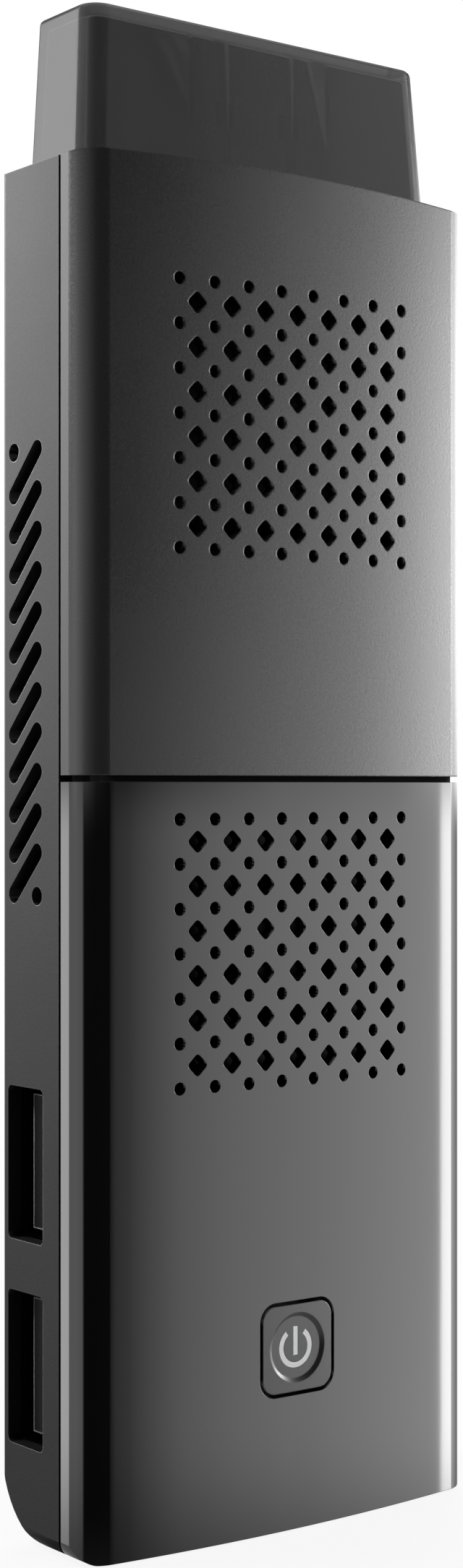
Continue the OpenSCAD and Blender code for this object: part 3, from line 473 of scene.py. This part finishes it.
def ringStrength(tree, turn, stops):
    ramp = addNode(tree, "ShaderNodeValToRGB")
    elements = ramp.color_ramp.elements
    closed = stops + [(fullTurn, stops[0][1])]
    while len(elements) < len(closed):
        elements.new(0.5)  # the places are set below
    for element, (degrees, value) in zip(elements, closed):
        element.position = degrees / fullTurn
        element.color = (*[value / ringLook["peak"]] * 3, 1)
    tree.links.new(turn, ramp.inputs["Fac"])
    return ramp.outputs["Color"]


def panelShare(tree, turn, height, look):
    start, end = [[degrees / fullTurn for degrees in look[side]] for side in ("start", "end")]
    across = window(tree, turn, start, end)
    return mathNode(tree, "MULTIPLY", across, window(tree, height, look["low"], look["high"]))


# the camera and glass see plain white, gloss sees the panels, and the rest gets the room light
def makeSurroundings():
    world = bpy.data.worlds.new("studio")
    scene.world = world
    tree = emptyTree(world)
    out = addNode(tree, "ShaderNodeOutputWorld")
    panels = addNode(tree, "ShaderNodeBackground")
    white = addNode(tree, "ShaderNodeBackground")
    white.inputs["Color"].default_value = (1, 1, 1, 1)
    mix = addNode(tree, "ShaderNodeMixShader")
    path = addNode(tree, "ShaderNodeLightPath")
    place = addNode(tree, "ShaderNodeTexCoord")
    split = addNode(tree, "ShaderNodeSeparateXYZ")
    tree.links.new(place.outputs["Generated"], split.inputs["Vector"])
    height = split.outputs["Z"]
    angle = mathNode(tree, "ARCTAN2", split.outputs["Y"], split.outputs["X"])
    turn = mathNode(tree, "FRACT", mathNode(tree, "MULTIPLY_ADD", angle, 1 / math.tau, 1.0))
    aboveEye = fade(tree, height, *ringLook["eye"])
    upper = mathNode(tree, "MULTIPLY", ringStrength(tree, turn, ringLook["upper"]), aboveEye)
    rest = mathNode(tree, "SUBTRACT", 1.0, aboveEye)
    both = mathNode(tree, "MULTIPLY_ADD", ringStrength(tree, turn, ringLook["lower"]), rest, upper)
    rings = mathNode(tree, "MULTIPLY", both, window(tree, height, ringLook["low"], ringLook["high"]))
    strength = mathNode(tree, "MULTIPLY", rings, ringLook["peak"])
    for look in panelLook.values():
        strength = mathNode(tree, "MULTIPLY_ADD", panelShare(tree, turn, height, look), look["add"], strength)
    extra = mathNode(tree, "SUBTRACT", strength, ringLook["room"])
    strength = mathNode(tree, "MULTIPLY_ADD", extra, path.outputs["Is Glossy Ray"], ringLook["room"])
    tree.links.new(strength, panels.inputs["Strength"])
    tree.links.new(seenDirectly(tree), mix.inputs["Fac"])
    tree.links.new(panels.outputs["Background"], mix.inputs[1])
    tree.links.new(white.outputs["Background"], mix.inputs[2])
    tree.links.new(mix.outputs["Shader"], out.inputs["Surface"])


lampLook = {
    "leftTop": {"at": (-0.0824, 0.048, 0.016), "aim": (-0.0204, 0, 0.016), "size": 0.04, "watts": 0.32},
    "backFill": {"at": (0.28, 0.3, 0.25), "aim": (0, 0, -0.05), "size": 0.3, "watts": 3.5},
    "frontHigh": {"at": (0.1, -0.32, 0.3), "aim": (0, 0, -0.06), "size": 0.25, "watts": 1.7},
}


def makeLamp(name, look):
    lamp = bpy.data.lights.new(name, "AREA")
    lamp.shape = "SQUARE"
    lamp.size = look["size"]
    lamp.energy = look["watts"]
    holder = bpy.data.objects.new(name, lamp)
    scene.collection.objects.link(holder)
    holder.visible_camera = False
    holder.visible_glossy = False  # gloss shows the panels
    holder.visible_transmission = False
    holder.location = look["at"]
    aim = Vector(look["aim"]) - Vector(look["at"])
    holder.rotation_euler = aim.to_track_quat("-Z", "Y").to_euler()


cameraLook = {
    "at": (-0.13255, -0.17366, -0.05127), "turn": math.radians(-37.22), "upright": math.radians(90),
    "lens": 58.27, "sensor": 36, "shift": 0.003, "clipStart": 0.01,
}


def makeCamera():
    data = bpy.data.cameras.new("camera")
    data.lens = cameraLook["lens"]
    data.sensor_width = cameraLook["sensor"]
    data.shift_y = cameraLook["shift"]
    data.clip_start = cameraLook["clipStart"]
    camera = bpy.data.objects.new("camera", data)
    scene.collection.objects.link(camera)
    camera.location = cameraLook["at"]
    camera.rotation_euler = (cameraLook["upright"], 0, cameraLook["turn"])
    scene.camera = camera


makeFloor()
makeSurroundings()
for name, look in lampLook.items():
    makeLamp(name, look)
makeCamera()
scene.view_settings.view_transform = "Standard"
print("stage set")
